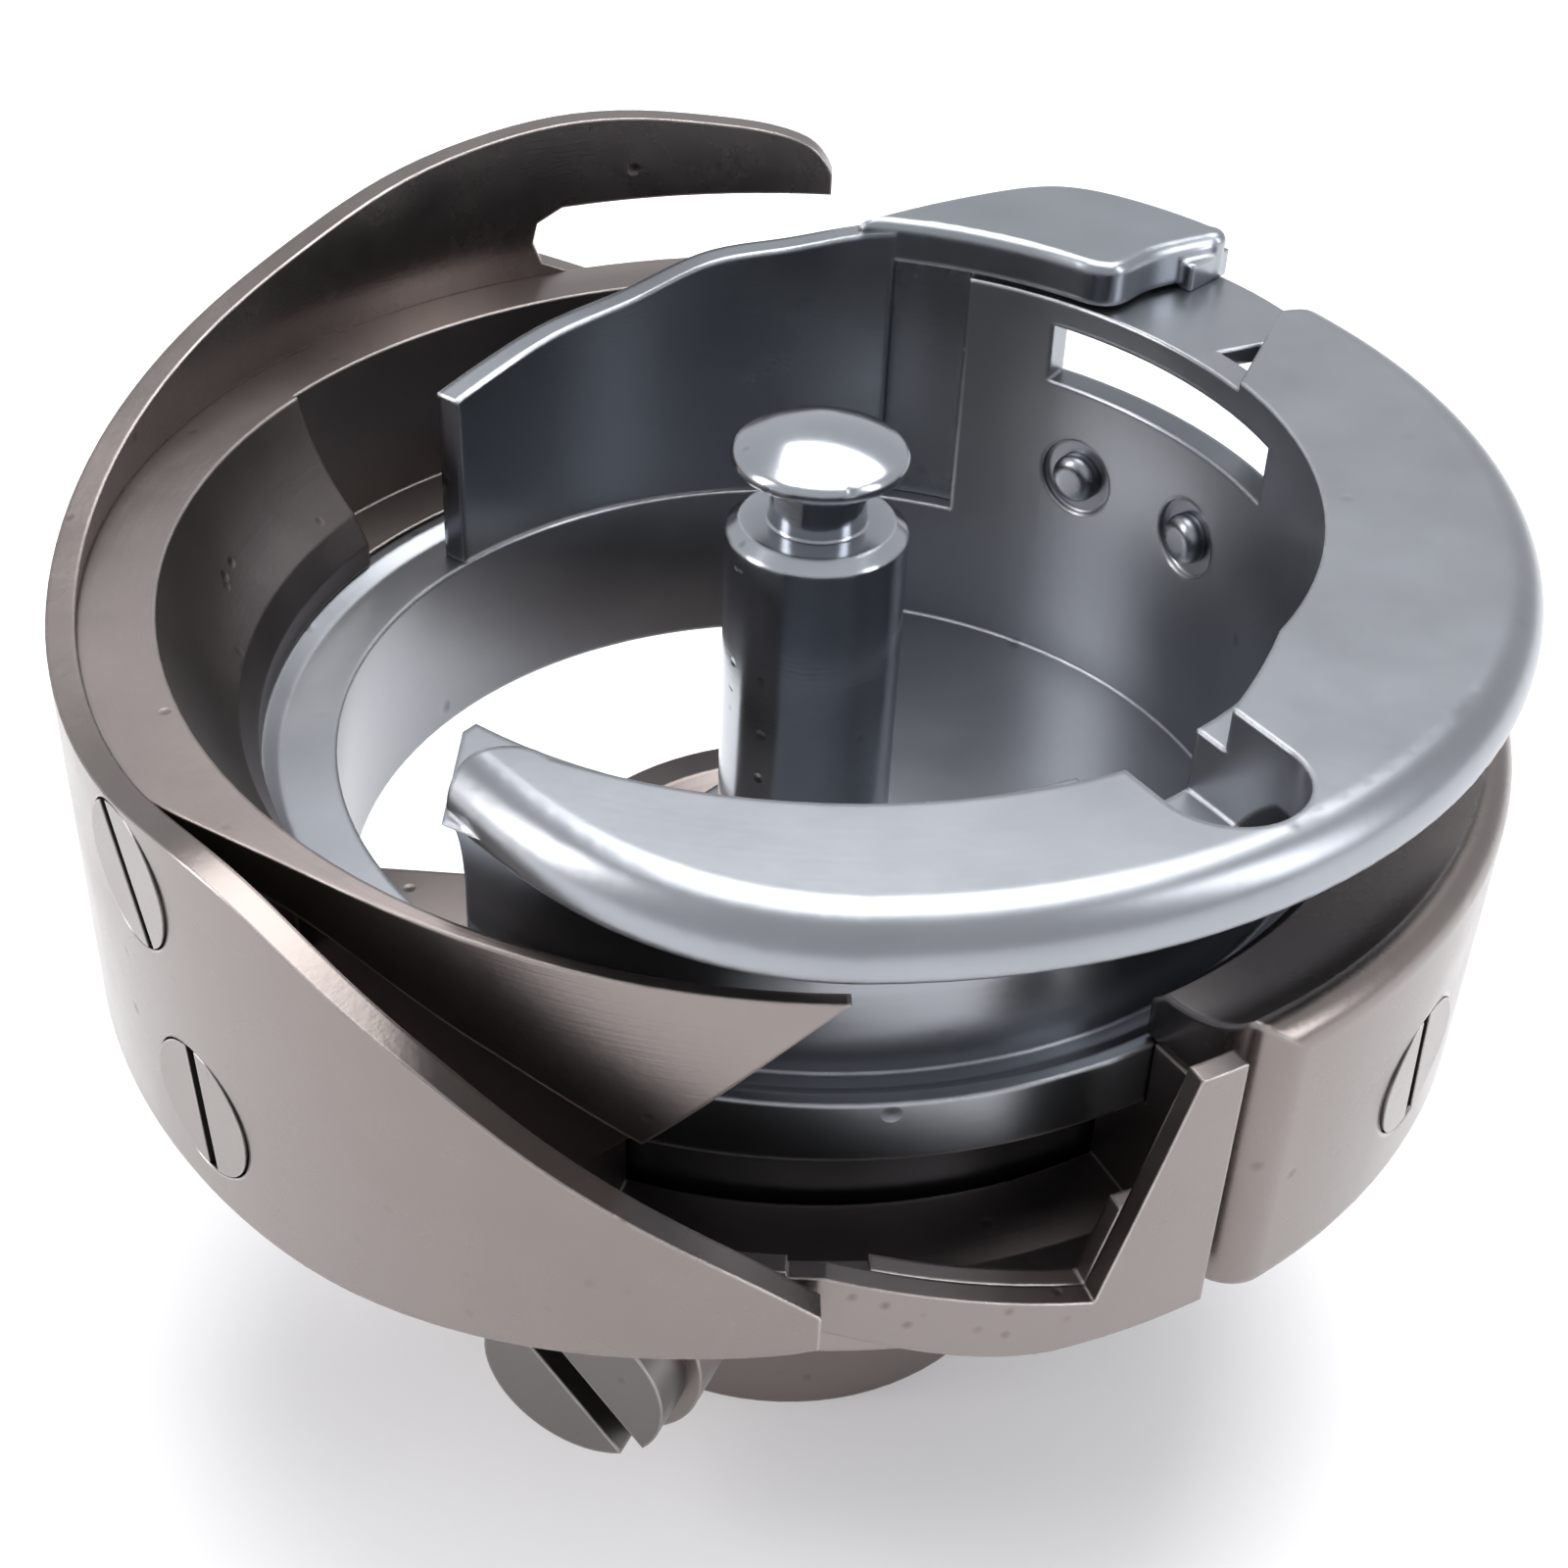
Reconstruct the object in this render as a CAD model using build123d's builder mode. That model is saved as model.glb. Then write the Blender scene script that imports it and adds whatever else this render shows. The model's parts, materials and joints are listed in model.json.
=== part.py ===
"""Vertical-axis rotary sewing hook with its bobbin-case basket.

Frame: +Z up along the hook shaft, origin on the shaft axis at the hub's lower face.
Angles run anticlockwise seen from above, and -90 degrees faces the operator.
Heights of ring and basket features are counted from the ring datum, ring_base.
"""
import os
from math import cos, radians, sin

from build123d import *

# --- driving dimensions, mm -------------------------------------------------------------
ring_base = 16.0          # height of the ring datum above the hub's lower face

shaft_radius = 5.0        # shaft bore
hub_radius = 8.5
hub_shoulder = -4.8       # where the hub meets the underside of the web
web_top = -0.9
ring_bottom = 0.3
ledge_height = 11.95      # flat top of the high half of the ring
ledge_inner = 19.05
seat_radius = 21.2        # outside of the ring under the guard leaf
wall_radius = 20.15       # outside of the ring under the needle guard
blade_radius = 19.45      # outside of the hook point blade

rib_radius = 17.0         # basket bearing rib
rib_bottom = 4.3
rib_top = 6.3
race_gap = 0.08           # running clearance of the rib in its raceway
lip_inner = 16.6          # lip that keeps the rib down
lip_top = 7.2
shelf_inner = 15.3        # shelf that carries the rib

leaf_thickness = 0.8
leaf_outer = seat_radius + leaf_thickness
guard_thickness = 0.6
guard_outer = wall_radius + guard_thickness
gib_outer = 20.9
gib_inner = 18.4
gib_start = -56.5
gib_end = 20.0
gib_end_gap = 0.4         # degrees left free at each end of the gib

cut_outer = 24.0          # cuts run out past every wall of the ring
cut_top = 14.0            # and up past its flat top
cut_bottom = -3.0         # and down past its lower edge

cavity_radius = 14.4      # bobbin cavity
cup_outer = 15.0
cup_bottom = 0.27
cup_floor = 1.4
basket_ledge = 6.05
flange_outer = 20.6
flange_top = 15.2
flange_bottom = 13.4
low_flange_top = 14.9
low_flange_bottom = 14.3
stud_radius = 2.71
stud_shoulder = 13.1
stud_bore = 1.9           # hole in the basket floor for the stud's foot
washer_outer = 3.2
dome_radius = 5.1         # crown of the stud head

screw_head_radius = 2.05
screw_shank_radius = 1.1
screw_slot = 0.45
clamp_angle = -112.9
clamp_height = -8.0
clamp_radius = 3.0

os.makedirs("parts", exist_ok=True)


# --- helpers ----------------------------------------------------------------------------
def up(height):
    """Height above the hub face of something measured from the ring datum."""
    return ring_base + height


def on_wall(radius, angle, height):
    """Point on a wall of the given radius."""
    return (radius * cos(radians(angle)), radius * sin(radians(angle)), up(height))


def radial_plane(angle):
    """Vertical plane through the shaft axis: local x runs outward, local y runs up."""
    a = radians(angle)
    return Plane(origin=(0, 0, ring_base), x_dir=(cos(a), sin(a), 0), z_dir=(sin(a), -cos(a), 0))


def wall_plane(radius, angle, height):
    """Plane that touches a wall: local z points outward, local y points up."""
    a = radians(angle)
    return Plane(origin=on_wall(radius, angle, height), x_dir=(-sin(a), cos(a), 0),
                 z_dir=(cos(a), sin(a), 0))


def turned(points, start, sweep_angle, mode=Mode.ADD):
    """Turn a closed outline of (radius, height) points about the shaft axis."""
    with BuildSketch(radial_plane(start)) as outline:
        with BuildLine():
            Polyline(*points, close=True)
        make_face()
    revolve(outline.sketch, axis=Axis.Z, revolution_arc=sweep_angle, mode=mode)


def ring_block(inner, outer, bottom, top, start, sweep_angle, mode=Mode.ADD):
    """Turn a rectangle between two radii and two heights about the shaft axis."""
    turned([(inner, bottom), (outer, bottom), (outer, top), (inner, top)], start, sweep_angle, mode)


def wrapped_face(stations, inner, outer):
    """Ruled face that follows (angle, height) stations between two radii."""
    curves = [Edge.make_spline([Vector(*on_wall(r, a, h)) for a, h in stations])
              for r in (inner, outer)]
    return Face.make_surface_from_curves(*curves)


def arc_points(radius, start, end, steps):
    """Points along an arc, both ends included."""
    angles = [start + (end - start) * i / steps for i in range(steps + 1)]
    return [(radius * cos(radians(a)), radius * sin(radians(a))) for a in angles]


def finish(builder, name):
    """Label a finished piece and write it out."""
    builder.part.label = name
    export_step(builder.part, f"parts/{name}.step")


# --- hook body: hub, web, ring with raceway, and the hook point --------------------------
# The window in front is everything above the scarf cone, less the blade over it.
blade_end = [(-85.4, 12.3), (-91.0, 10.4), (-98.6, 7.6), (-106.6, 4.8), (-112.0, 2.9)]
pocket_edge = [(21.4, -144.5), (20.7, -139.0), (20.0, -132.0), (19.6, -123.0), (blade_radius, -112.0)]
pocket_floor = [(-146.0, 9.6), (-137.0, 8.2), (-128.0, 6.2), (-117.0, 4.6), (-103.0, 3.6),
                (-88.0, 3.4), (-82.0, 3.4)]
blade_foot = [(-135.0, 10.6), (-127.0, 10.2), (-118.0, 9.2), (-108.0, 7.9), (-100.0, 6.6),
              (-96.0, 6.0)]
undercut_radius = 18.8
undercut_outer = 20.5
undercut_start = -134
undercut_sweep = 37
ring_relief = [(-130.0, 0.2), (-120.0, 0.6), (-110.0, 1.1), (-99.0, 1.9), (-91.0, 2.3),
               (-83.0, 1.5), (-74.0, 0.5), (-68.0, 0.25)]

scarf_start = -107.0
scarf_end = -56.4
window_inner = 15.25
lip_wall_inner = 19.6
notch_angle = -64.0       # middle of the window's slanting right-hand end
notch_lean = 16.6
window_end_height = 8.9
lip_slope = 17.4          # fall of the lip towards the right-hand end
blade_inner = 14.5        # the faces that shape the blade run between these radii
blade_outer = 24.5
wall_cut_inner = 19.4
wall_cut_bottom = 4.2

with BuildPart() as thread_pocket:
    with BuildSketch(Plane.XY.offset(up(-1))):
        with BuildLine():
            edge = [(r * cos(radians(a)), r * sin(radians(a))) for r, a in pocket_edge]
            rim = arc_points(24.0, -144.5, -84.0, 2)
            blade_arc = arc_points(blade_radius, -112.0, -84.0, 2)
            Spline(*edge)
            ThreePointArc(*blade_arc)
            Line(blade_arc[2], rim[2])
            ThreePointArc(rim[2], rim[1], rim[0])
            Line(rim[0], edge[0])
        make_face()
    extrude(amount=16)
    with BuildPart(mode=Mode.PRIVATE) as under_blade:
        ring_block(undercut_radius, undercut_outer, 0, cut_top, undercut_start, undercut_sweep)
        extrude(wrapped_face(blade_foot, 17.5, 25.0), amount=14, dir=(0, 0, 1), mode=Mode.SUBTRACT)
    add(under_blade.part)
    extrude(wrapped_face(pocket_floor, 17.0, 25.5), amount=14, dir=(0, 0, -1), mode=Mode.SUBTRACT)

with BuildPart() as window:
    floor_line = [(window_inner, 0.85), (17.6, 0.5), (lip_wall_inner - 0.4, 0.7), (lip_wall_inner, 1.6)]
    turned(floor_line + [(lip_wall_inner, cut_top), (window_inner, cut_top)], scarf_start,
           scarf_end - scarf_start)
    extrude(wrapped_face(blade_end, blade_inner, blade_outer), amount=14, dir=(0, 0, 1), mode=Mode.SUBTRACT)

with BuildPart() as lip_fall:
    wall_from = lip_wall_inner - 0.3
    ring_block(wall_from, cut_outer, -0.4, cut_top, -97.0, 40.0)
    with BuildSketch(Plane(origin=(0, -20, up(4.3)), x_dir=(cos(radians(lip_slope)), 0,
                     -sin(radians(lip_slope))), z_dir=(-sin(radians(lip_slope)), 0,
                     -cos(radians(lip_slope))))):
        Rectangle(60, 60)
    extrude(amount=20, mode=Mode.SUBTRACT)
    extrude(wrapped_face(blade_end, blade_inner, blade_outer), amount=14, dir=(0, 0, 1), mode=Mode.SUBTRACT)

notch_tangent = (-sin(radians(notch_angle)), cos(radians(notch_angle)))
notch_plane = Plane(
    origin=on_wall(20.9, notch_angle, 5.85),
    x_dir=(cos(radians(notch_angle)), sin(radians(notch_angle)), 0),
    z_dir=(notch_tangent[0] * cos(radians(notch_lean)), notch_tangent[1] * cos(radians(notch_lean)),
           -sin(radians(notch_lean))))

with BuildPart() as wall_cut:
    ring_block(wall_cut_inner, cut_outer, wall_cut_bottom, cut_top, scarf_start,
               scarf_end - scarf_start)
    extrude(wrapped_face(blade_end, blade_inner, blade_outer), amount=14, dir=(0, 0, 1), mode=Mode.SUBTRACT)
    add(lip_fall.part)
    with BuildSketch(notch_plane):
        Rectangle(40, 60)
    extrude(amount=20, mode=Mode.SUBTRACT)

clamp_angles = (clamp_angle, clamp_angle + 120)
leaf_screws = {"upper": (-142.0, 10.0), "lower": (-135.5, 3.6), "back": (128.0, 6.0)}
gib_screws = {"front": (-34.0, 3.7), "back": (6.0, 3.7)}
felt_angle = 200.0
felt_height = 5.3

# pairs of start angle and sweep, degrees
back_gap = (97, 81)       # open quarter of the web
side_gap = (25, 50)
low_half = (-56.5, 143.5)
window_end = (-72, 16)
guard_alone = (-68, 11.6)  # only the thin guard plate stands here
lip_left_out = (87, 66)
guard_seat = (-106, 49.5)
leaf_cut_short = (85, 13)
web_cut_bottom = -6.0
race_cut_inner = 14.0
guard_foot = 4.4
low_half_outer = 20.7

with BuildPart() as hook_body:
    with BuildSketch(radial_plane(0)):
        with BuildLine():
            Polyline((shaft_radius, -ring_base), (hub_radius, -ring_base), (hub_radius, hub_shoulder),
                     (13.5, -2.9), (16.0, -2.4), (18.6, -0.2), (19.4, ring_bottom),
                     (seat_radius, ring_bottom), (seat_radius, ledge_height),
                     (ledge_inner, ledge_height))
            ThreePointArc((ledge_inner, ledge_height), (18.2, 9.7), (17.1, 8.2))
            Polyline((17.1, 8.2), (lip_inner, lip_top), (lip_inner, rib_top + race_gap),
                     (rib_radius + race_gap, rib_top + race_gap),
                     (rib_radius + race_gap, rib_bottom - race_gap),
                     (shelf_inner, rib_bottom - race_gap), (shelf_inner, web_top),
                     (7.4, web_top), (6.4, web_top - 0.6), (shaft_radius, web_top - 0.6),
                     (shaft_radius, -ring_base))
        make_face()
    revolve(axis=Axis.Z)
    # back-left quarter of the web is open, and so is a smaller gap at the back right
    ring_block(hub_radius + 0.05, 23.0, web_cut_bottom, ring_bottom, *back_gap, mode=Mode.SUBTRACT)
    ring_block(hub_radius + 0.05, 15.2, web_cut_bottom, 1.0, *side_gap, mode=Mode.SUBTRACT)
    # the low half of the ring ends level with the lip
    ring_block(race_cut_inner, cut_outer, lip_top, cut_top, *low_half,
           mode=Mode.SUBTRACT)
    ring_block(race_cut_inner, cut_outer, window_end_height, cut_top, *window_end, mode=Mode.SUBTRACT)
    ring_block(race_cut_inner, 22.0, guard_foot, cut_top, *guard_alone, mode=Mode.SUBTRACT)
    # lip left out behind the basket's back wall
    ring_block(16.0, 19.2, rib_top + race_gap, cut_top, *lip_left_out, mode=Mode.SUBTRACT)
    # seat of the gib, and the smaller outside radius where no leaf covers the ring
    ring_block(gib_inner, cut_outer, cut_bottom, cut_top, gib_start,
           gib_end - gib_start, mode=Mode.SUBTRACT)
    ring_block(race_cut_inner, cut_outer, rib_top + race_gap, cut_top, gib_start,
               gib_end - gib_start, mode=Mode.SUBTRACT)
    ring_block(wall_radius, cut_outer, cut_bottom, cut_top, *guard_seat,
           mode=Mode.SUBTRACT)
    ring_block(low_half_outer, cut_outer, cut_bottom, cut_top, gib_end, 95 - gib_end,
           mode=Mode.SUBTRACT)
    # thread pocket outside the blade, undercut below the blade's foot
    add(thread_pocket.part, mode=Mode.SUBTRACT)
    add(window.part, mode=Mode.SUBTRACT)
    add(wall_cut.part, mode=Mode.SUBTRACT)
    extrude(wrapped_face(ring_relief, 19.9, 24.0), amount=4, dir=(0, 0, -1), mode=Mode.SUBTRACT)
    # clamp screw bosses on the hub, with their holes
    for angle in clamp_angles:
        with BuildSketch(wall_plane(6.5, angle, clamp_height)):
            Circle(clamp_radius + 0.5)
        extrude(amount=7.6)
    for angle in clamp_angles:
        with BuildSketch(wall_plane(4.0, angle, clamp_height)):
            Circle(clamp_radius - 0.6)
        extrude(amount=12, mode=Mode.SUBTRACT)
    for angle, height in list(leaf_screws.values()) + list(gib_screws.values()):
        with BuildSketch(wall_plane(17.7, angle, height)):
            Circle(screw_shank_radius)
        extrude(amount=5, mode=Mode.SUBTRACT)
    with BuildSketch(wall_plane(16.9, felt_angle, felt_height)):
        Circle(0.95)
    extrude(amount=2.6, mode=Mode.SUBTRACT)
finish(hook_body, "hook_body")


# --- guard leaf: curved outer leaf with its finger at the back and its tail in front ------
leaf_crest = [(89.2, 14.2), (90.0, 15.3), (91.6, 16.05), (93.5, 16.4), (100.8, 16.95),
              (108.0, 17.3), (115.7, 17.4), (124.0, 17.1), (133.0, 16.5), (143.0, 15.5),
              (155.0, 14.5), (166.0, 13.7), (176.5, 13.0), (190.0, 12.3), (203.0, 12.0),
              (216.0, 12.1), (226.0, 12.5), (231.0, 12.3), (235.5, 11.7), (241.5, 10.6),
              (247.1, 9.5), (252.3, 8.3), (257.4, 7.2), (262.4, 6.2), (267.4, 5.2),
              (271.1, 4.3), (274.0, 3.5)]
leaf_hem = [(95.0, 0.45), (160.0, 0.45), (225.0, 0.45), (237.0, 0.5), (246.0, 0.91),
            (256.0, 1.55), (266.0, 2.3), (271.0, 2.7), (274.0, 3.1)]
leaf_start = 89.7
leaf_sweep = 182.6
leaf_blank_top = 18.0
finger_gap = [(87.0, 14.35), (100.0, 14.35), (116.0, 14.35), (118.5, 13.9), (119.0, 13.2),
              (118.2, 12.4), (113.7, 11.6), (106.0, 10.3), (98.0, 8.9), (87.0, 7.0)]

with BuildPart() as guard_leaf:
    ring_block(seat_radius, leaf_outer, ring_bottom, leaf_blank_top, leaf_start, leaf_sweep)
    extrude(wrapped_face(leaf_crest, seat_radius - 0.6, leaf_outer + 0.6), amount=16, dir=(0, 0, 1),
            mode=Mode.SUBTRACT)
    extrude(wrapped_face(leaf_hem, seat_radius - 0.6, leaf_outer + 0.6), amount=3, dir=(0, 0, -1),
            mode=Mode.SUBTRACT)
    # gap under the finger, cut square to the wall at its middle
    gap_middle = 103.0
    with BuildSketch(wall_plane(12.0, gap_middle, 0)):
        with BuildLine():
            Polyline(*[(21.6 * sin(radians(a - gap_middle)), h) for a, h in finger_gap], close=True)
        make_face()
    extrude(amount=14, mode=Mode.SUBTRACT)
    # lower part of the leaf stops short of the finger's tip
    ring_block(20.0, cut_outer, -1.0, 11.0, *leaf_cut_short, mode=Mode.SUBTRACT)
    for angle, height in leaf_screws.values():
        with BuildSketch(wall_plane(18.0, angle, height)):
            Circle(screw_head_radius + 0.06)
        extrude(amount=6, mode=Mode.SUBTRACT)
finish(guard_leaf, "guard_leaf")


# --- needle guard: thin curved plate under the window -----------------------------------
guard_start = -105.0
guard_end = -57.6
guard_cut_inner = 19.0
with BuildPart() as needle_guard:
    ring_block(wall_radius, guard_outer, ring_bottom, window_end_height, guard_start,
               guard_end - guard_start)
    with BuildPart(mode=Mode.PRIVATE) as above_lip:
        ring_block(guard_cut_inner, cut_outer, 4.6, cut_top, -108, 30)
        add(wall_cut.part)
        ring_block(guard_cut_inner, cut_outer, 4.0, cut_top, -90, 22)
    add(above_lip.part, mode=Mode.SUBTRACT)
    extrude(wrapped_face(ring_relief, 18.6, 24.0), amount=4, dir=(0, 0, -1), mode=Mode.SUBTRACT)
finish(needle_guard, "needle_guard")


# --- raceway gib: block that closes the raceway at the right ------------------------------
with BuildPart() as raceway_gib:
    with BuildSketch(radial_plane(gib_start + gib_end_gap)):
        with BuildLine():
            Polyline((gib_inner + 0.02, 0.15), (gib_outer, 0.15), (gib_outer, 8.6))
            ThreePointArc((gib_outer, 8.6), (20.65, 9.2), (20.0, 9.4))
            ThreePointArc((20.0, 9.4), (18.6, 8.4), (17.0, 8.0))
            Polyline((17.0, 8.0), (lip_inner, 7.6), (lip_inner, rib_top + race_gap + 0.02),
                     (gib_inner + 0.02, rib_top + race_gap + 0.02), (gib_inner + 0.02, 0.15))
        make_face()
    revolve(axis=Axis.Z, revolution_arc=gib_end - gib_start - 2 * gib_end_gap)
    # rounded upright corners at both ends
    with BuildSketch(Plane.XY.offset(up(0))) as plan:
        with BuildLine():
            block_outer = arc_points(gib_outer, gib_start + gib_end_gap, gib_end - gib_end_gap, 2)
            block_inner = arc_points(16.0, gib_start + gib_end_gap, gib_end - gib_end_gap, 2)
            ThreePointArc(*block_outer)
            Line(block_outer[2], block_inner[2])
            ThreePointArc(block_inner[2], block_inner[1], block_inner[0])
            Line(block_inner[0], block_outer[0])
        make_face()
        fillet(plan.vertices().filter_by(lambda v: v.X ** 2 + v.Y ** 2 > 20 ** 2), 1.3)
    extrude(amount=12, mode=Mode.INTERSECT)
    for angle, height in gib_screws.values():
        with BuildSketch(wall_plane(17.0, angle, height)):
            Circle(screw_shank_radius)
        extrude(amount=6, mode=Mode.SUBTRACT)
        with BuildSketch(wall_plane(19.7, angle, height)):
            Circle(screw_head_radius + 0.06)
        extrude(amount=3, mode=Mode.SUBTRACT)
finish(raceway_gib, "raceway_gib")


# --- fasteners --------------------------------------------------------------------------
def flush_screw(name, angle, height, face_radius, head_depth, head_radius, reach, slot_turn):
    """Slotted screw whose head is flush with a wall of face_radius."""
    with BuildPart() as screw:
        with BuildSketch(wall_plane(face_radius, angle, height)):
            Circle(head_radius)
        extrude(amount=-head_depth)
        with BuildSketch(wall_plane(face_radius - head_depth, angle, height)):
            Circle(screw_shank_radius - 0.02)
        extrude(amount=head_depth - reach)
        with BuildSketch(wall_plane(face_radius, angle, height)):
            Rectangle(screw_slot, 3 * head_radius, rotation=slot_turn)
        extrude(amount=-0.45 * head_depth, mode=Mode.SUBTRACT)
    finish(screw, name)


leaf_slot_turns = {"upper": 28, "lower": 6, "back": 70}
for key, (angle, height) in leaf_screws.items():
    flush_screw(f"leaf_screw_{key}", angle, height, leaf_outer, leaf_thickness, screw_head_radius,
                3.4, leaf_slot_turns[key])
gib_slot_turns = {"front": 8, "back": 55}
for key, (angle, height) in gib_screws.items():
    flush_screw(f"gib_screw_{key}", angle, height, gib_outer, 1.1, screw_head_radius, 3.1,
                gib_slot_turns[key])


def clamp_screw(name, angle, slot_turn):
    """Slotted clamp screw whose head covers the end of its boss."""
    with BuildPart() as screw:
        with BuildSketch(wall_plane(14.1, angle, clamp_height)):
            Circle(clamp_radius)
        extrude(amount=1.6)
        with BuildSketch(wall_plane(shaft_radius + 0.3, angle, clamp_height)):
            Circle(clamp_radius - 0.65)
        extrude(amount=14.1 - shaft_radius - 0.3)
        with BuildSketch(wall_plane(15.7, angle, clamp_height)):
            Rectangle(1.0, 4 * clamp_radius, rotation=slot_turn)
        extrude(amount=-1.0, mode=Mode.SUBTRACT)
    finish(screw, name)


clamp_screw("clamp_screw_front", clamp_angles[0], 42)
clamp_screw("clamp_screw_side", clamp_angles[1], -20)

with BuildPart() as oil_felt:
    with BuildSketch(wall_plane(17.3, felt_angle, felt_height)):
        Circle(0.9)
    extrude(amount=2.1)
finish(oil_felt, "oil_felt")


# --- basket: the bobbin-case base that rides in the raceway -------------------------------
wall_start = -126.0       # left-hand end of the wall under the flange
flange_left = -8.75
flange_tip = [(17.6, -119.6), (18.4, -113.0), (19.4, -105.0), (20.2, -96.5)]
wall_bend = 14.0          # where the flared wall becomes a plain one
wall_end = 70.5
notch_radius = 2.0        # thread notch, from its round end towards the shaft axis
notch_length = 8.8
notch_floor = 12.0
notch_turn = 125.3
notch_middle = (7.55, -10.6)
slot_angles = (18.0, 58.0)
rivet_angles = {"left": 52.0, "right": 32.0}
rivet_height = 8.8
rivet_radius = 0.62       # hole for the rivet
slot_bottom = 12.0
slot_top = 14.0

with BuildPart() as flange_plate:
    with BuildSketch(Plane.XY.offset(up(flange_bottom))):
        with BuildLine():
            outer = arc_points(flange_outer, -86.0, 36.0, 2)
            ThreePointArc(*outer)
            Line(outer[2], (14.9, 11.6))
            Line((14.9, 11.6), (12.0, 4.05))
            Line((12.0, 4.05), (12.9, -5.4))
            ThreePointArc((12.9, -5.4), (12.0, -8.2), (10.5, -11.4))
            Line((10.5, -11.4), (8.0, -13.9))
            ThreePointArc((8.0, -13.9), (0.0, -16.0), (-6.2, -14.75))
            tip = [(r * cos(radians(a)), r * sin(radians(a))) for r, a in flange_tip]
            Spline((-6.2, -14.75), (-7.3, -14.3), (-8.2, -14.7), tip[0])
            Spline(*tip, outer[0])
        make_face()
    extrude(amount=flange_top - flange_bottom)
    top_rim = flange_plate.edges().group_by(Axis.Z)[-1].sort_by(Edge.length)[-1]
    fillet(top_rim, 1.2)
    low_rim = flange_plate.edges().group_by(Axis.Z)[0].sort_by(Edge.length)[-1]
    fillet(low_rim, 0.4)

with BuildPart() as upper_wall:
    # flared wall under the wide flange
    with BuildSketch(radial_plane(wall_start)):
        with BuildLine():
            Polyline((13.5, basket_ledge - 0.4), (15.6, basket_ledge - 0.4), (15.6, 8.8))
            ThreePointArc((15.6, 8.8), (16.1, 11.6), (18.1, 13.9))
            Polyline((18.1, 13.9), (13.5, 13.9), (13.5, basket_ledge - 0.4))
        make_face()
    revolve(axis=Axis.Z, revolution_arc=wall_bend - wall_start)
    add(flange_plate.part)
    # plain right-hand wall with its long slot
    ring_block(13.2, 15.45, basket_ledge - 0.3, low_flange_top, wall_bend - 2,
               wall_end - wall_bend + 2)
    ring_block(13.0, 17.0, slot_bottom, slot_top, slot_angles[0],
           slot_angles[1] - slot_angles[0], mode=Mode.SUBTRACT)
    # low flange that runs from the step to its point under the tab
    with BuildSketch(Plane.XY.offset(up(low_flange_bottom))):
        with BuildLine():
            low_inner = arc_points(14.9, 70.3, 36.0, 2)
            point_root = arc_points(16.1, 70.3, 75.6, 1)
            ThreePointArc(*low_inner)
            Line(low_inner[2], (15.9, 10.6))
            ThreePointArc((15.9, 10.6), (13.7, 14.2), (10.6, 16.9))
            Spline((10.6, 16.9), (7.5, 16.9), point_root[1])
            Line(point_root[1], point_root[0])
            Line(point_root[0], low_inner[0])
        make_face()
    extrude(amount=low_flange_top - low_flange_bottom)
    # wall ends flush with the tip of the wide flange
    with BuildSketch(Plane.YZ.offset(flange_left)):
        Rectangle(80, 120)
    extrude(amount=-20, mode=Mode.SUBTRACT)
    # bobbin cavity
    with BuildSketch(Plane.XY):
        Circle(cavity_radius)
    extrude(amount=50, mode=Mode.SUBTRACT)

with BuildPart() as basket_body:
    # cup wall, bearing rib and ledge
    turned([(cavity_radius, cup_bottom), (cup_outer, cup_bottom), (cup_outer, rib_bottom),
            (rib_radius, rib_bottom), (rib_radius, rib_top), (rib_radius - 0.4, rib_top),
            (16.1, basket_ledge), (cavity_radius, basket_ledge)], 0, 360)
    # floor on the right-hand side, with the boss that carries the stud
    ring_block(0, cavity_radius + 0.2, cup_bottom, cup_floor, -125, 220)
    with BuildSketch(Plane.XY.offset(up(cup_bottom))):
        Circle(4.0)
    extrude(amount=cup_floor - cup_bottom)
    add(upper_wall.part)
    # thread notch through the flange runs down the wall behind it
    with BuildSketch(Plane.XY.offset(up(notch_floor))):
        with Locations(notch_middle):
            SlotCenterToCenter(notch_length, 2 * notch_radius, rotation=notch_turn)
    extrude(amount=12, mode=Mode.SUBTRACT)
    with BuildSketch(Plane.XY):
        Circle(stud_bore)
    extrude(amount=40, mode=Mode.SUBTRACT)
    for angle in rivet_angles.values():
        with BuildSketch(wall_plane(12.0, angle, rivet_height)):
            Circle(rivet_radius)
        extrude(amount=6, mode=Mode.SUBTRACT)
        # dimple round the rivet head
        with BuildSketch(wall_plane(12.0, angle, rivet_height)):
            Circle(1.35)
        extrude(amount=2.57, mode=Mode.SUBTRACT)
finish(basket_body, "basket_body")


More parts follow.
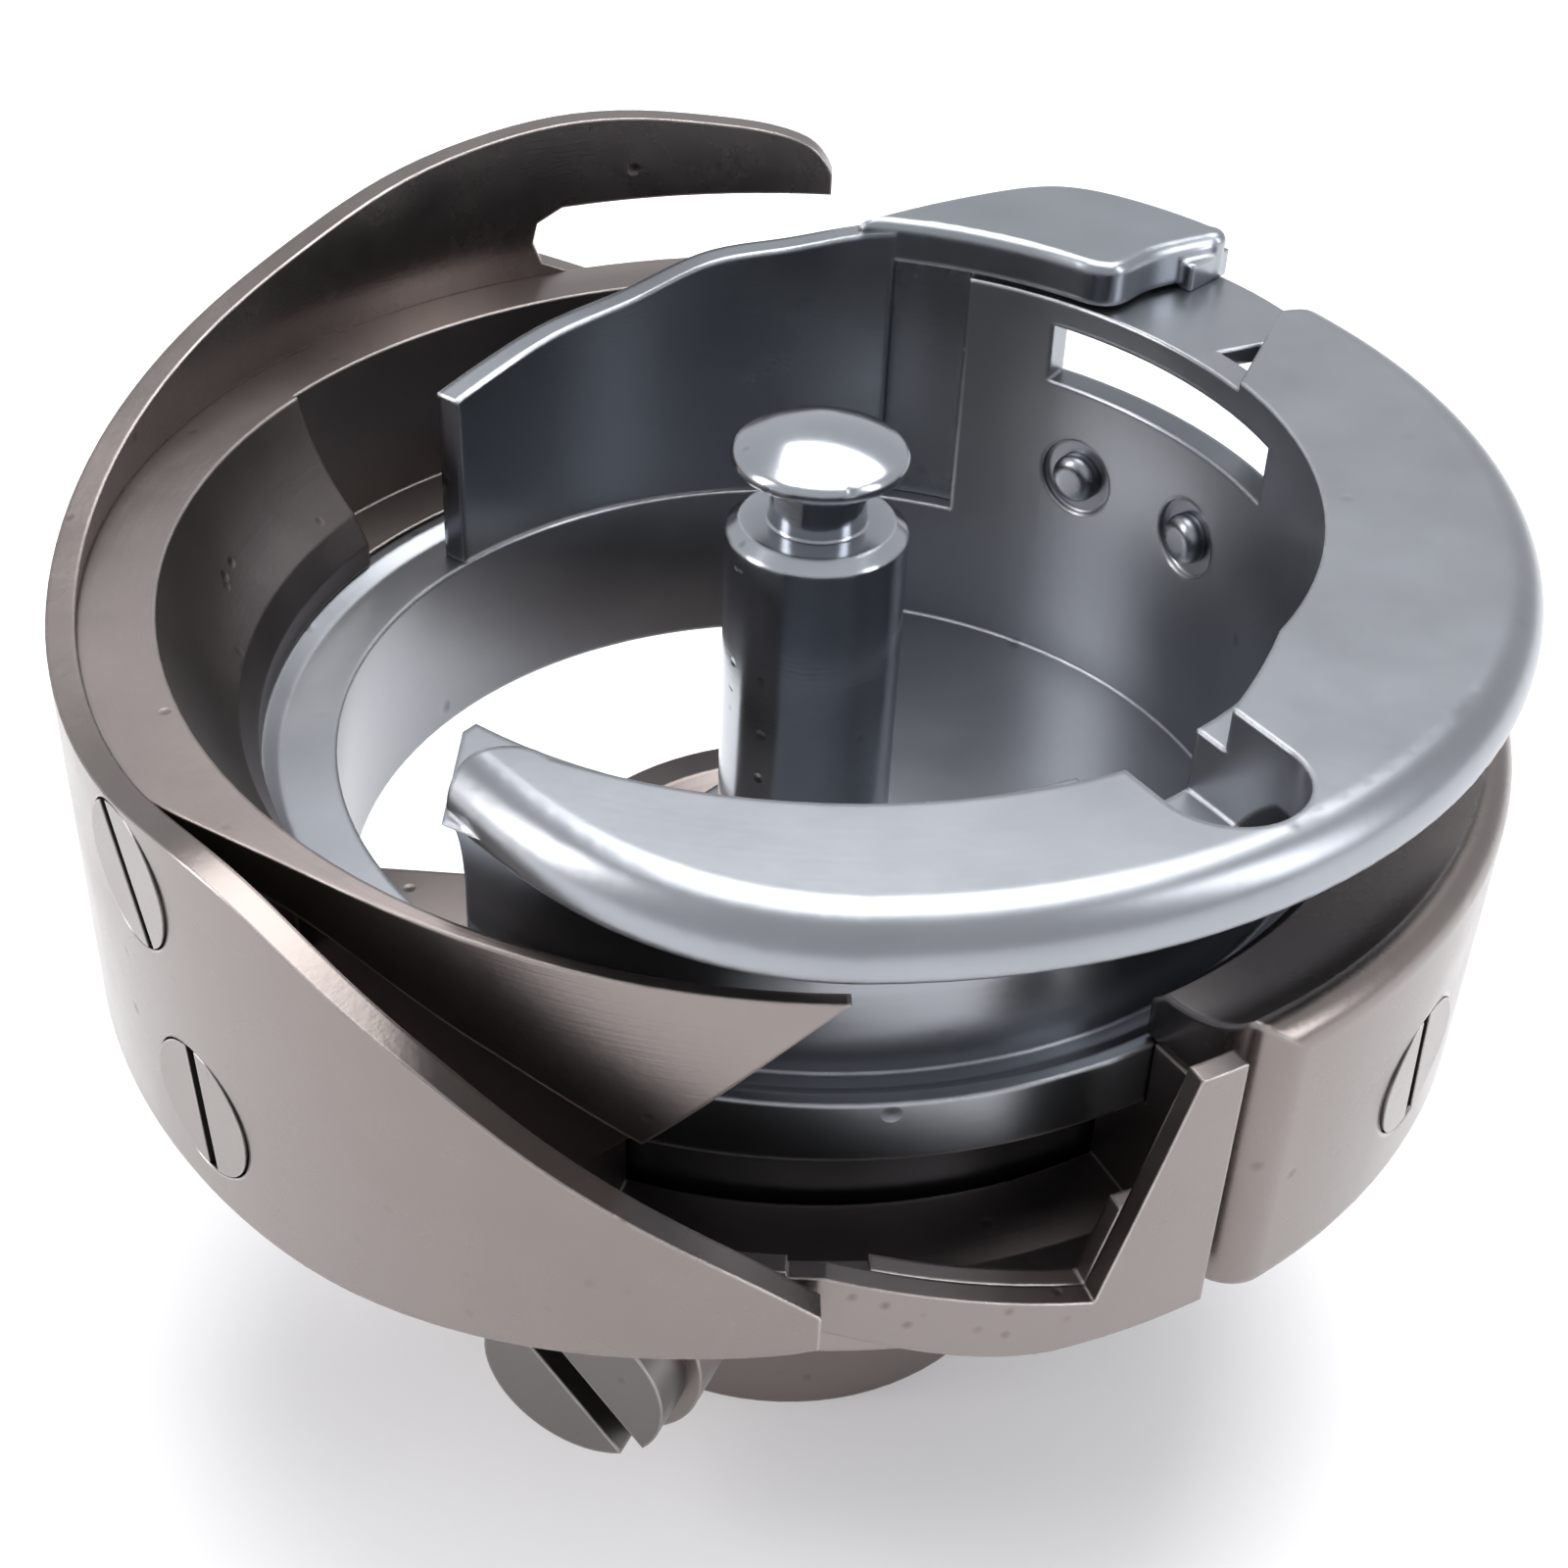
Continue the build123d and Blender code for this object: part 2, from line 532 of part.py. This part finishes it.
# --- position plate: back wall of the basket with the stop tab ----------------------------
plate_left = 144.5
plate_outer = 15.3
recess_angle = 81.0
tab_bottom = 15.1
tab_top = 16.5
plate_crest = [(64.0, 16.3), (76.0, 16.2), (85.6, 15.9), (95.5, 15.3), (105.6, 14.9),
               (116.0, 13.9), (127.0, 13.3), (136.0, 12.7), (145.0, 12.2)]
with BuildPart() as position_plate:
    plate_foot = basket_ledge + 0.02
    ring_block(cavity_radius, plate_outer, plate_foot, 18.0, recess_angle, plate_left - recess_angle)
    # recess beside the wall's end, closed by a thinner skin behind it
    ring_block(15.0, 15.6, plate_foot, 18.0, wall_end + 0.4, recess_angle - wall_end)
    extrude(wrapped_face(plate_crest, 14.0, 17.0), amount=6, dir=(0, 0, 1), mode=Mode.SUBTRACT)
    with BuildSketch(Plane.XY.offset(up(tab_bottom))):
        with BuildLine():
            tab_inner = arc_points(cavity_radius + 0.03, 86.0, 56.0, 2)
            ThreePointArc(*tab_inner)
            Spline(tab_inner[2], (9.6, 11.7), (10.5, 12.7), (11.6, 13.5), (12.8, 14.2))
            ThreePointArc((12.8, 14.2), (13.3, 14.7), (12.9, 15.3))
            Spline((12.9, 15.3), (10.3, 17.3), (8.0, 18.1), (5.1, 17.1), (3.1, 15.9), tab_inner[0])
        make_face()
    extrude(amount=tab_top - tab_bottom)
    tab_rim = position_plate.edges().group_by(Axis.Z)[-1]
    fillet(tab_rim, 0.35)
    with BuildSketch(Plane.XY.offset(up(low_flange_top + 0.02))):
        with Locations((12.2, 14.6)):
            Rectangle(2.0, 1.6, rotation=48)
    extrude(amount=0.9)
finish(position_plate, "position_plate")


# --- wall rivets and their strap ----------------------------------------------------------
with BuildPart() as rivet_strap:
    ring_block(15.65, 16.2, 7.7, 9.9, 27, 30)
    for angle in rivet_angles.values():
        with BuildSketch(wall_plane(12.0, angle, rivet_height)):
            Circle(rivet_radius)
        extrude(amount=6, mode=Mode.SUBTRACT)
finish(rivet_strap, "rivet_strap")

for name, angle in rivet_angles.items():
    with BuildPart() as rivet:
        with BuildSketch(wall_plane(13.95, angle, rivet_height)):
            Circle(0.85)
        extrude(amount=0.6)
        outward = Axis((0, 0, 0), (cos(radians(angle)), sin(radians(angle)), 0))
        fillet(rivet.faces().sort_by(outward)[0].edges(), 0.4)
        with BuildSketch(wall_plane(14.5, angle, rivet_height)):
            Circle(rivet_radius - 0.02)
        extrude(amount=1.6)
    finish(rivet, f"wall_rivet_{name}")


# --- centre stud and its washer -------------------------------------------------------------
with BuildPart() as centre_stud:
    with BuildSketch(radial_plane(0)):
        with BuildLine():
            Polyline((0, -0.5), (1.85, -0.5), (1.85, cup_floor + 0.02), (stud_radius, cup_floor + 0.02),
                     (stud_radius, stud_shoulder), (2.3, stud_shoulder + 0.35),
                     (1.45, stud_shoulder + 0.35), (1.4, 14.75), (2.35, 15.25))
            ThreePointArc((2.35, 15.25), (2.6, 15.55), (2.4, 15.85))
            RadiusArc((2.4, 15.85), (0, 16.45), -dome_radius)
            Line((0, 16.45), (0, -0.5))
        make_face()
    revolve(axis=Axis.Z)
finish(centre_stud, "centre_stud")

with BuildPart() as stud_washer:
    ring_block(1.87, washer_outer, cup_bottom - 0.4, cup_bottom - 0.02, 0, 360)
finish(stud_washer, "stud_washer")
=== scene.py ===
# Rotary hook with its bobbin-case basket: steel finishes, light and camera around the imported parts.
import json
import math

import bpy
from mathutils import Matrix, Vector

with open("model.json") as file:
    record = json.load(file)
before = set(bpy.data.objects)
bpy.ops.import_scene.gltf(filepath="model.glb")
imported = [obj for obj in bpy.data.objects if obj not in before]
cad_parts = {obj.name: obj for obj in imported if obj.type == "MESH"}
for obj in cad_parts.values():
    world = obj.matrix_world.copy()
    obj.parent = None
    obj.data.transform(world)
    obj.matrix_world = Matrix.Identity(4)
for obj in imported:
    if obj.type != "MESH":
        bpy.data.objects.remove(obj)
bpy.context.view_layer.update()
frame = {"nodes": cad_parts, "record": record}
mm = 0.001

print("frame loaded:", len(frame["nodes"]), "nodes")


# small helpers for building node trees

def addNode(tree, kind, **settings):
    node = tree.nodes.new(kind)
    for name, value in settings.items():
        setattr(node, name, value)
    return node


def link(tree, source, target):
    tree.links.new(source, target)


def maths(tree, operation, first, second=None, clamp=False):
    node = addNode(tree, "ShaderNodeMath", operation=operation, use_clamp=clamp)
    for socket, value in zip(node.inputs, (first, second)):
        if value is None:
            continue
        if hasattr(value, "is_output"):
            link(tree, value, socket)
        else:
            socket.default_value = value
    return node.outputs[0]


def remap(tree, value, fromMin, fromMax, toMin=0.0, toMax=1.0):
    node = addNode(tree, "ShaderNodeMapRange", clamp=True)
    link(tree, value, node.inputs["Value"])
    node.inputs["From Min"].default_value = fromMin
    node.inputs["From Max"].default_value = fromMax
    node.inputs["To Min"].default_value = toMin
    node.inputs["To Max"].default_value = toMax
    return node.outputs[0]


def newGroup(name, inputs, outputs):
    tree = bpy.data.node_groups.new(name, "ShaderNodeTree")
    for label, value in inputs.items():
        kind = "NodeSocketColor" if isinstance(value, tuple) else "NodeSocketFloat"
        socket = tree.interface.new_socket(name=label, in_out="INPUT", socket_type=kind)
        socket.default_value = value
    for label, kind in outputs.items():
        tree.interface.new_socket(name=label, in_out="OUTPUT", socket_type=kind)
    start = addNode(tree, "NodeGroupInput")
    end = addNode(tree, "NodeGroupOutput")
    return tree, start, end


def mixColors(tree, factor, first, second):
    node = addNode(tree, "ShaderNodeMix", data_type="RGBA")
    link(tree, factor, node.inputs["Factor"])
    for label, color in (("A", first), ("B", second)):
        if hasattr(color, "is_output"):
            link(tree, color, node.inputs[label])
        else:
            node.inputs[label].default_value = (*color, 1)
    return node.outputs["Result"]


def addBump(tree, shader, height, relief, normal=None):
    bump = addNode(tree, "ShaderNodeBump")
    bump.inputs["Strength"].default_value = relief["strength"]
    bump.inputs["Distance"].default_value = relief["distance"]
    link(tree, height, bump.inputs["Height"])
    if normal is not None:
        link(tree, normal, bump.inputs["Normal"])
    link(tree, bump.outputs[0], shader.inputs["Normal"])


def newMaterial(name):
    material = bpy.data.materials.new(name)
    material.use_nodes = True
    return material, material.node_tree.nodes["Principled BSDF"]


def objectNoise(tree, scale, detail=2.0, roughness=0.5, stretch=None):
    coords = addNode(tree, "ShaderNodeTexCoord").outputs["Object"]
    if stretch is not None:
        mapping = addNode(tree, "ShaderNodeMapping")
        mapping.inputs["Scale"].default_value = stretch
        link(tree, coords, mapping.inputs["Vector"])
        coords = mapping.outputs[0]
    noise = addNode(tree, "ShaderNodeTexNoise")
    noise.inputs["Scale"].default_value = scale
    noise.inputs["Detail"].default_value = detail
    noise.inputs["Roughness"].default_value = roughness
    link(tree, coords, noise.inputs["Vector"])
    return noise.outputs["Fac"]


edgeWearLook = dict(radius=0.00018, breakup=0.5, samples=6, flat=0.995, sharp=0.86,
                    noiseScale=900.0, noiseDetail=3.0, noiseLow=0.35, noiseHigh=0.6)


def makeEdgeWear():
    # rounded-edge normal, and a mask that is bright on outside corners
    look = edgeWearLook
    tree, start, end = newGroup("edgeWear", {"Radius": look["radius"], "Breakup": look["breakup"]},
                                {"Mask": "NodeSocketFloat", "Normal": "NodeSocketVector"})
    bevel = addNode(tree, "ShaderNodeBevel", samples=look["samples"])
    link(tree, start.outputs["Radius"], bevel.inputs["Radius"])
    geometry = addNode(tree, "ShaderNodeNewGeometry")
    dot = addNode(tree, "ShaderNodeVectorMath", operation="DOT_PRODUCT")
    link(tree, bevel.outputs[0], dot.inputs[0])
    link(tree, geometry.outputs["Normal"], dot.inputs[1])
    corner = remap(tree, dot.outputs["Value"], look["flat"], look["sharp"])
    noise = objectNoise(tree, look["noiseScale"], look["noiseDetail"])
    breakup = remap(tree, noise, look["noiseLow"], look["noiseHigh"])
    missing = maths(tree, "SUBTRACT", 1.0, breakup)
    worn = maths(tree, "SUBTRACT", 1.0, maths(tree, "MULTIPLY", start.outputs["Breakup"], missing))
    link(tree, maths(tree, "MULTIPLY", corner, worn), end.inputs["Mask"])
    link(tree, bevel.outputs[0], end.inputs["Normal"])
    return tree


turningMarksLook = dict(pitch=0.00008, noiseScale=1.0, noiseDetail=3.0)


def makeTurningMarks():
    # fine rings left by the lathe: noise that depends only on radius and height
    look = turningMarksLook
    tree, start, end = newGroup("turningMarks", {"Pitch": look["pitch"]},
                                {"Height": "NodeSocketFloat"})
    coords = addNode(tree, "ShaderNodeTexCoord").outputs["Object"]
    split = addNode(tree, "ShaderNodeSeparateXYZ")
    link(tree, coords, split.inputs[0])
    flat = maths(tree, "ADD", maths(tree, "MULTIPLY", split.outputs[0], split.outputs[0]),
                 maths(tree, "MULTIPLY", split.outputs[1], split.outputs[1]))
    radius = maths(tree, "SQRT", flat)
    join = addNode(tree, "ShaderNodeCombineXYZ")
    link(tree, maths(tree, "DIVIDE", radius, start.outputs["Pitch"]), join.inputs[0])
    link(tree, maths(tree, "DIVIDE", split.outputs[2], start.outputs["Pitch"]), join.inputs[1])
    noise = addNode(tree, "ShaderNodeTexNoise", noise_dimensions="2D")
    noise.inputs["Scale"].default_value = look["noiseScale"]
    noise.inputs["Detail"].default_value = look["noiseDetail"]
    link(tree, join.outputs[0], noise.inputs["Vector"])
    link(tree, noise.outputs["Fac"], end.inputs["Height"])
    return tree


pittingLook = dict(scale=900.0, amount=0.2, rim=0.24, bottom=0.05, patchScale=160.0,
                   patchLow=0.45, patchHigh=0.62)


def makePitting():
    # scattered small pits and dents
    look = pittingLook
    tree, start, end = newGroup("pitting", {"Scale": look["scale"], "Amount": look["amount"]},
                                {"Mask": "NodeSocketFloat"})
    coords = addNode(tree, "ShaderNodeTexCoord").outputs["Object"]
    cells = addNode(tree, "ShaderNodeTexVoronoi", feature="F1")
    link(tree, coords, cells.inputs["Vector"])
    link(tree, start.outputs["Scale"], cells.inputs["Scale"])
    near = remap(tree, cells.outputs["Distance"], look["rim"], look["bottom"])
    pick = addNode(tree, "ShaderNodeSeparateColor")
    link(tree, cells.outputs["Color"], pick.inputs[0])
    chosen = maths(tree, "LESS_THAN", pick.outputs[0], start.outputs["Amount"])
    patch = remap(tree, objectNoise(tree, look["patchScale"]), look["patchLow"], look["patchHigh"])
    pits = maths(tree, "MULTIPLY", near, chosen)
    link(tree, maths(tree, "MULTIPLY", pits, patch), end.inputs["Mask"])
    return tree


# settings of the painted shade in corners and recesses
cornerShadeLook = dict(reach=0.0022, amount=0.6, samples=6, open=0.9, deep=0.25, shadeNoiseScale=260.0,
                   shadeNoiseDetail=4.0, shadeNoiseRoughness=0.6, shadeNoiseLow=0.3, shadeNoiseHigh=0.7, faintest=0.55)


def makeCornerShade():
    # painted shade: darker colour gathered in corners and recesses by ambient occlusion, where shade
    # falls, partly an oil film, broken up by noise
    look = cornerShadeLook
    tree, start, end = newGroup("cornerShade", {"Reach": look["reach"], "Amount": look["amount"]},
                                {"Mask": "NodeSocketFloat"})
    shade = addNode(tree, "ShaderNodeAmbientOcclusion", samples=look["samples"])
    link(tree, start.outputs["Reach"], shade.inputs["Distance"])
    corner = remap(tree, shade.outputs["AO"], look["open"], look["deep"])
    noise = objectNoise(tree, look["shadeNoiseScale"], look["shadeNoiseDetail"], look["shadeNoiseRoughness"])
    shadeNoise = remap(tree, noise, look["shadeNoiseLow"], look["shadeNoiseHigh"], look["faintest"], 1.0)
    shadeFilm = maths(tree, "MULTIPLY", corner, shadeNoise)
    link(tree, maths(tree, "MULTIPLY", shadeFilm, start.outputs["Amount"]), end.inputs["Mask"])
    return tree


edgeWear = makeEdgeWear()
turningMarks = makeTurningMarks()
pitting = makePitting()
# painted shade in corners and recesses
cornerShade = makeCornerShade()


def placeGroup(tree, group, **values):
    node = addNode(tree, "ShaderNodeGroup", node_tree=group)
    for label, value in values.items():
        node.inputs[label].default_value = value
    return node


# lengths are in metres; base is the clean colour and worn the rubbed colour, while the second colour
# is painted shade that darkens corners and recesses, partly an oil film, and also colours the pits
steels = {
    "hookSteel": dict(base=(0.235, 0.205, 0.195), shadeFilm=(0.10, 0.075, 0.068),
                      worn=(0.62, 0.57, 0.54), rough=0.34, roughSpread=0.06, ringPitch=0.00009,
                      ringDepth=0.10, grain=(1.0, 1.0, 1.0), grainScale=4200.0, grainDepth=0.10,
                      shadeAmount=0.35, edge=0.00016, pits=0.16, pitScale=1100.0),
    "leafSteel": dict(base=(0.20, 0.175, 0.165), shadeFilm=(0.13, 0.10, 0.09), worn=(0.70, 0.65, 0.62),
                      rough=0.27, roughSpread=0.09, ringPitch=0.0004, ringDepth=0.05,
                      grain=(1.0, 1.0, 3.0), grainScale=3200.0, grainDepth=0.12, shadeAmount=0.35,
                      edge=0.00014, pits=0.20, pitScale=1000.0),
    "guardSteel": dict(base=(0.215, 0.19, 0.18), shadeFilm=(0.13, 0.10, 0.09), worn=(0.66, 0.62, 0.59),
                       rough=0.30, roughSpread=0.10, ringPitch=0.0003, ringDepth=0.05,
                       grain=(1.0, 1.0, 2.0), grainScale=3000.0, grainDepth=0.14, shadeAmount=0.4,
                       edge=0.00012, pits=0.6, pitScale=1300.0),
    "gibSteel": dict(base=(0.20, 0.175, 0.165), shadeFilm=(0.10, 0.08, 0.07), worn=(0.72, 0.68, 0.65),
                     rough=0.26, roughSpread=0.10, ringPitch=0.0003, ringDepth=0.06,
                     grain=(1.0, 1.0, 3.0), grainScale=3200.0, grainDepth=0.12, shadeAmount=0.5,
                     edge=0.00030, pits=0.10, pitScale=1000.0),
    "screwSteel": dict(base=(0.21, 0.185, 0.175), shadeFilm=(0.05, 0.04, 0.04), worn=(0.66, 0.62, 0.59),
                       rough=0.28, roughSpread=0.10, ringPitch=0.0002, ringDepth=0.02,
                       grain=(1.0, 1.0, 2.0), grainScale=3400.0, grainDepth=0.12, shadeAmount=0.9,
                       edge=0.00008, pits=0.2, pitScale=1500.0),
    "clampSteel": dict(base=(0.17, 0.158, 0.152), shadeFilm=(0.05, 0.045, 0.045), worn=(0.6, 0.58, 0.56),
                       rough=0.34, roughSpread=0.08, ringPitch=0.0003, ringDepth=0.02,
                       grain=(1.0, 1.0, 1.0), grainScale=2600.0, grainDepth=0.14, shadeAmount=0.7,
                       edge=0.00016, pits=0.2, pitScale=1500.0),
    "basketSteel": dict(base=(0.285, 0.297, 0.32), shadeFilm=(0.15, 0.165, 0.19),
                        worn=(0.70, 0.71, 0.74), rough=0.31, roughSpread=0.04, ringPitch=0.00016,
                        ringDepth=0.035, grain=(1.0, 1.0, 1.0), grainScale=2400.0, grainDepth=0.08,
                        shadeAmount=0.45, edge=0.00022, pits=0.10, pitScale=800.0),
    "plateSteel": dict(base=(0.30, 0.318, 0.345), shadeFilm=(0.15, 0.17, 0.20), worn=(0.75, 0.77, 0.8),
                       rough=0.25, roughSpread=0.05, ringPitch=0.0004, ringDepth=0.02,
                       grain=(1.0, 1.0, 4.0), grainScale=2000.0, grainDepth=0.07, shadeAmount=0.35,
                       edge=0.00028, pits=0.12, pitScale=800.0),
    "rivetSteel": dict(base=(0.30, 0.315, 0.34), shadeFilm=(0.13, 0.15, 0.17), worn=(0.78, 0.8, 0.83),
                       rough=0.26, roughSpread=0.08, ringPitch=0.0004, ringDepth=0.02,
                       grain=(1.0, 1.0, 1.0), grainScale=2400.0, grainDepth=0.08, shadeAmount=0.8,
                       edge=0.00024, pits=0.1, pitScale=1200.0),
    "studSteel": dict(base=(0.40, 0.42, 0.45), shadeFilm=(0.14, 0.16, 0.18), worn=(0.85, 0.87, 0.9),
                      rough=0.17, roughSpread=0.10, ringPitch=0.00012, ringDepth=0.03,
                      grain=(1.0, 1.0, 5.0), grainScale=1800.0, grainDepth=0.04, shadeAmount=0.5,
                      edge=0.00020, pits=0.22, pitScale=1300.0),
}


# what all the steels share
steelLook = dict(cloudScale=220.0, cloudDetail=5.0, cloudRoughness=0.6, cloudLow=0.3, cloudHigh=0.7,
                 darker=0.95, lighter=1.05, breakup=0.4, wornAmount=0.55, pitAmount=0.7,
                 shadeRough=0.12, wornPolish=0.06, grainDetail=2.0, grainRoughness=0.5, pitDepth=0.9,
                 strength=0.5, distance=0.00006)


def makeSteel(name, finish):
    look = steelLook
    material, shader = newMaterial(name)
    tree = material.node_tree
    shader.inputs["Metallic"].default_value = 1.0
    wear = placeGroup(tree, edgeWear, Radius=finish["edge"], Breakup=look["breakup"])
    shadeFilm = placeGroup(tree, cornerShade, Amount=finish["shadeAmount"])
    pits = placeGroup(tree, pitting, Scale=finish["pitScale"], Amount=finish["pits"])
    rings = placeGroup(tree, turningMarks, Pitch=finish["ringPitch"])
    cloud = objectNoise(tree, look["cloudScale"], look["cloudDetail"], look["cloudRoughness"])

    dark = [c * look["darker"] for c in finish["base"]]
    light = [c * look["lighter"] for c in finish["base"]]
    clean = mixColors(tree, remap(tree, cloud, look["cloudLow"], look["cloudHigh"]), dark, light)
    # painted shade: the corner mask darkens the colour in corners and recesses, partly an oil film
    darkened = mixColors(tree, shadeFilm.outputs["Mask"], clean, finish["shadeFilm"])
    wornMask = maths(tree, "MULTIPLY", wear.outputs["Mask"], look["wornAmount"])
    rubbed = mixColors(tree, wornMask, darkened, finish["worn"])
    pitMask = maths(tree, "MULTIPLY", pits.outputs["Mask"], look["pitAmount"])
    # the pits take the same dark colour as the painted shade
    pitted = mixColors(tree, pitMask, rubbed, finish["shadeFilm"])
    link(tree, pitted, shader.inputs["Base Color"])

    low = finish["rough"] - finish["roughSpread"] / 2
    roughness = remap(tree, cloud, look["cloudLow"], look["cloudHigh"], low,
                      low + finish["roughSpread"])
    duller = maths(tree, "MULTIPLY", shadeFilm.outputs["Mask"], look["shadeRough"])
    roughness = maths(tree, "ADD", roughness, duller)
    smoother = maths(tree, "MULTIPLY", wear.outputs["Mask"], look["wornPolish"])
    roughness = maths(tree, "SUBTRACT", roughness, smoother)
    link(tree, roughness, shader.inputs["Roughness"])

    grain = objectNoise(tree, finish["grainScale"], look["grainDetail"], look["grainRoughness"],
                        finish["grain"])
    ringHeight = maths(tree, "MULTIPLY", rings.outputs["Height"], finish["ringDepth"])
    grainHeight = maths(tree, "MULTIPLY", grain, finish["grainDepth"])
    pitHeight = maths(tree, "MULTIPLY", pits.outputs["Mask"], look["pitDepth"])
    height = maths(tree, "ADD", ringHeight, grainHeight)
    height = maths(tree, "SUBTRACT", height, pitHeight)
    addBump(tree, shader, height, look, wear.outputs["Normal"])
    return material


feltLook = dict(sheen=0.3, fibreScale=5200.0, fibreDetail=6.0, fibreRoughness=0.7,
                darkened=(0.42, 0.38, 0.30), dry=(0.72, 0.68, 0.58), fibreLow=0.2, fibreHigh=0.8,
                smoothest=0.82, roughest=0.98, strength=0.9, distance=0.0001)


def makeFelt():
    look = feltLook
    material, shader = newMaterial("oilFelt")
    tree = material.node_tree
    shader.inputs["Sheen Weight"].default_value = look["sheen"]
    fibre = objectNoise(tree, look["fibreScale"], look["fibreDetail"], look["fibreRoughness"])
    link(tree, mixColors(tree, fibre, look["darkened"], look["dry"]), shader.inputs["Base Color"])
    link(tree, remap(tree, fibre, look["fibreLow"], look["fibreHigh"], look["smoothest"],
                     look["roughest"]), shader.inputs["Roughness"])
    addBump(tree, shader, fibre, look)
    return material


materials = {name: makeSteel(name, finish) for name, finish in steels.items()}
materials["oilFelt"] = makeFelt()

print("finishes built:", len(materials))


# finishes go on the parts by the part record's own slots
slotFinishes = {
    "hook_steel": "hookSteel", "leaf_steel": "leafSteel", "guard_steel": "guardSteel",
    "gib_steel": "gibSteel", "screw_steel": "screwSteel", "clamp_steel": "clampSteel",
    "felt": "oilFelt", "basket_steel": "basketSteel", "plate_steel": "plateSteel",
    "rivet_steel": "rivetSteel", "stud_steel": "studSteel",
}
slotOfNode = {row["node"]: row["material_slot"] for row in frame["record"]["subparts"]}
for nodeName, part in frame["nodes"].items():
    part.data.materials.clear()
    part.data.materials.append(materials[slotFinishes[slotOfNode[nodeName]]])

print("finishes applied")


floorLook = dict(size=1.2, height=0.0, color=(0.93, 0.93, 0.935), rough=0.7)


def makeFloor():
    bpy.ops.mesh.primitive_plane_add(size=floorLook["size"], location=(0, 0, floorLook["height"]))
    floor = bpy.context.object
    floor.name = "floor"
    material, shader = newMaterial("paleFloor")
    shader.inputs["Base Color"].default_value = (*floorLook["color"], 1)
    shader.inputs["Roughness"].default_value = floorLook["rough"]
    floor.data.materials.append(material)


roomLight = dict(color=(0.95, 0.96, 1.0), strength=0.8, aim=(0, 0, 0.025))

softboxes = {
    "topSoftbox": dict(place=(0.02, 0.10, 0.34), size=(0.28, 0.28), power=1.3, color=(1, 1, 1)),
    "leftSoftbox": dict(place=(-0.30, -0.06, 0.16), size=(0.10, 0.26), power=0.55,
                        color=(1.0, 0.97, 0.95)),
    "rightSoftbox": dict(place=(0.30, -0.10, 0.20), size=(0.10, 0.24), power=0.4,
                         color=(0.97, 0.98, 1.0)),
}


def addSoftbox(name, box):
    data = bpy.data.lights.new(name, "AREA")
    data.shape = "RECTANGLE"
    data.size, data.size_y = box["size"]
    data.energy = box["power"]
    data.color = box["color"]
    lamp = bpy.data.objects.new(name, data)
    lamp.location = box["place"]
    toObject = Vector(roomLight["aim"]) - Vector(box["place"])
    lamp.rotation_euler = toObject.to_track_quat("-Z", "Y").to_euler()
    bpy.context.collection.objects.link(lamp)


def lightRoom():
    world = bpy.data.worlds.new("room")
    bpy.context.scene.world = world
    world.use_nodes = True
    background = world.node_tree.nodes["Background"]
    background.inputs["Color"].default_value = (*roomLight["color"], 1)
    background.inputs["Strength"].default_value = roomLight["strength"]
    for name, box in softboxes.items():
        addSoftbox(name, box)


# place is in millimetres from the hub's lower face, the angles are in degrees
shot = dict(place=(-0.62, -61.13, 65.64), pitch=36.94, roll=2.63, lens=55.4625, sensor=36.0,
            nearest=0.002, farthest=10.0)


def placeCamera():
    data = bpy.data.cameras.new("camera")
    data.sensor_width = shot["sensor"]
    data.lens = shot["lens"]
    data.clip_start = shot["nearest"]
    data.clip_end = shot["farthest"]
    camera = bpy.data.objects.new("camera", data)
    pitch = math.radians(shot["pitch"])
    roll = math.radians(shot["roll"])
    forward = Vector((0, math.cos(pitch), -math.sin(pitch)))
    right = Vector((1, 0, 0))
    upward = right.cross(forward)
    rolledRight = right * math.cos(roll) + upward * math.sin(roll)
    rolledUp = upward * math.cos(roll) - right * math.sin(roll)
    turn = Matrix((rolledRight, rolledUp, -forward)).transposed().to_4x4()
    camera.matrix_world = Matrix.Translation(Vector(shot["place"]) * mm) @ turn
    bpy.context.collection.objects.link(camera)
    bpy.context.scene.camera = camera
    bpy.context.scene.view_settings.view_transform = "Standard"


makeFloor()
lightRoom()
placeCamera()
print("floor, light and camera placed")
